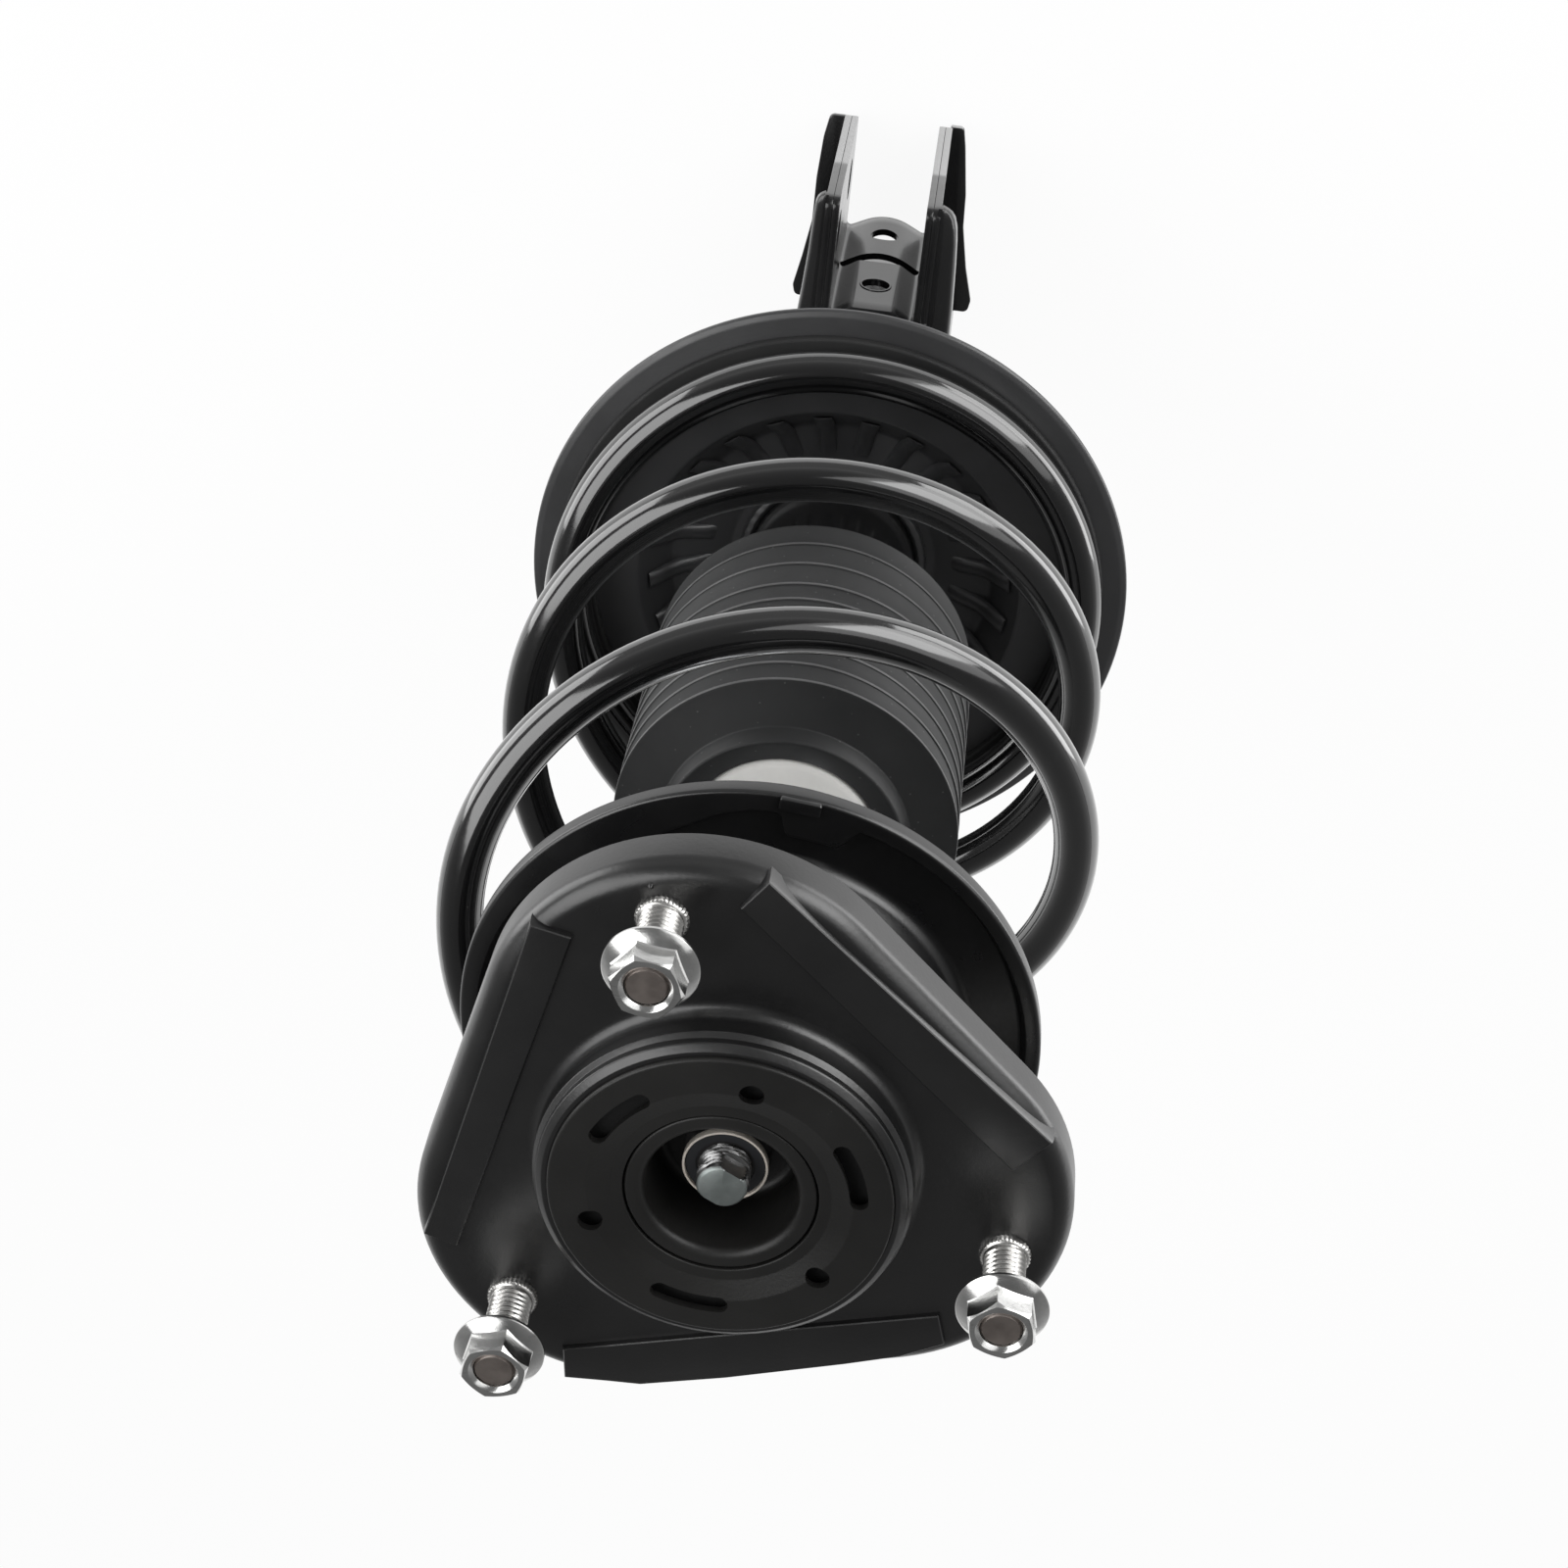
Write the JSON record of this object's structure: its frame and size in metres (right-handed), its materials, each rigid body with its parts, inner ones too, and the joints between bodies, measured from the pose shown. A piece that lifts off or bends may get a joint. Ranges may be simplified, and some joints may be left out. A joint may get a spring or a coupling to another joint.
{
  "type": "suspension strut assembly",
  "caption": "Front suspension strut with coil spring, studded top mount, strut bearing, spring seats, dust boot, bump stop and forked knuckle bracket.",
  "frame": {"origin": "centre of the circle of the three mounting studs, in the plane of the mount plate's upper face", "axes": "+Z along the strut's axis, upwards through the studs; -Y towards the open ends of the bracket's two ears; X across the ears, along the knuckle bolts"},
  "size_m": [0.177, 0.177, 0.5074],
  "materials": {
    "plate_coat": "satin black electrocoat on pressed steel",
    "disc_coat": "matte black electrocoat",
    "seat_coat": "satin black electrocoat",
    "pan_coat": "satin black electrocoat",
    "spring_coat": "gloss black powder coat",
    "tube_coat": "gloss black paint",
    "bracket_coat": "gloss black paint",
    "stud_zinc": "rolled thread, bright zinc plate",
    "zinc_steel": "bright zinc plate",
    "phosphate_steel": "black phosphate coat on steel",
    "bearing_steel": "ground steel",
    "sintered_steel": "sintered, oiled",
    "rod_chrome": "hard chromed and ground",
    "bush_bronze": "bronze lining",
    "rubber": "matte",
    "boot_rubber": "matte dark grey",
    "stop_foam": "closed-cell foam, cream",
    "nylon": "dark nylon",
    "bearing_plastic": "glass-filled nylon"
  },
  "bodies": {
    "top_mount": {"mount_plate": "plate_coat", "cover_disc": "disc_coat", "rod_cup": "disc_coat", "mount_rubber": "rubber", "bearing_housing": "plate_coat", "rod_washer": "phosphate_steel", "rebound_washer": "zinc_steel", "mounting_studs": "stud_zinc", "flange_nuts": "zinc_steel", "rod_nut": "phosphate_steel", "nut_insert": "nylon", "bearing_upper_race": "bearing_steel", "piston_rod": "rod_chrome", "piston": "sintered_steel", "piston_band": "bearing_plastic", "piston_nut": "zinc_steel", "rebound_stop": "rubber"},
    "bearing_cage": {"bearing_cage": "bearing_plastic", "bearing_balls": "bearing_steel"},
    "spring_group": {"bearing_lower_race": "bearing_steel", "upper_spring_seat": "seat_coat", "upper_isolator": "rubber", "coil_spring": "spring_coat"},
    "damper_body": {"lower_isolator": "rubber", "lower_spring_seat": "pan_coat", "damper_tube": "tube_coat", "tube_end_cap": "tube_coat", "base_valve": "sintered_steel", "pressure_tube": "sintered_steel", "rod_guide": "sintered_steel", "rod_bush": "bush_bronze", "rod_seal": "rubber", "bump_cap": "zinc_steel", "bump_stop": "stop_foam", "dust_boot": "boot_rubber", "knuckle_bracket": "bracket_coat", "bracket_liner": "bracket_coat"}
  },
  "joints": [
    {"name": "steer_swivel", "type": "hinge", "parent": "top_mount", "child": "spring_group", "pos_m": [0, 0, -0.0229], "axis": [0, 0, 1], "continuous": true},
    {"name": "cage_roll", "type": "hinge", "parent": "top_mount", "child": "bearing_cage", "pos_m": [0, 0, -0.0229], "axis": [0, 0, 1], "continuous": true},
    {"name": "damper_stroke", "type": "slide", "parent": "spring_group", "child": "damper_body", "axis": [0, 0, 1], "range_m": [0, 0.08], "stiffness_N_per_m": 21000, "deforming": ["coil_spring"]}
  ],
  "couplings": [
    {"joint": "cage_roll", "follows": "steer_swivel", "ratio": 0.5}
  ]
}
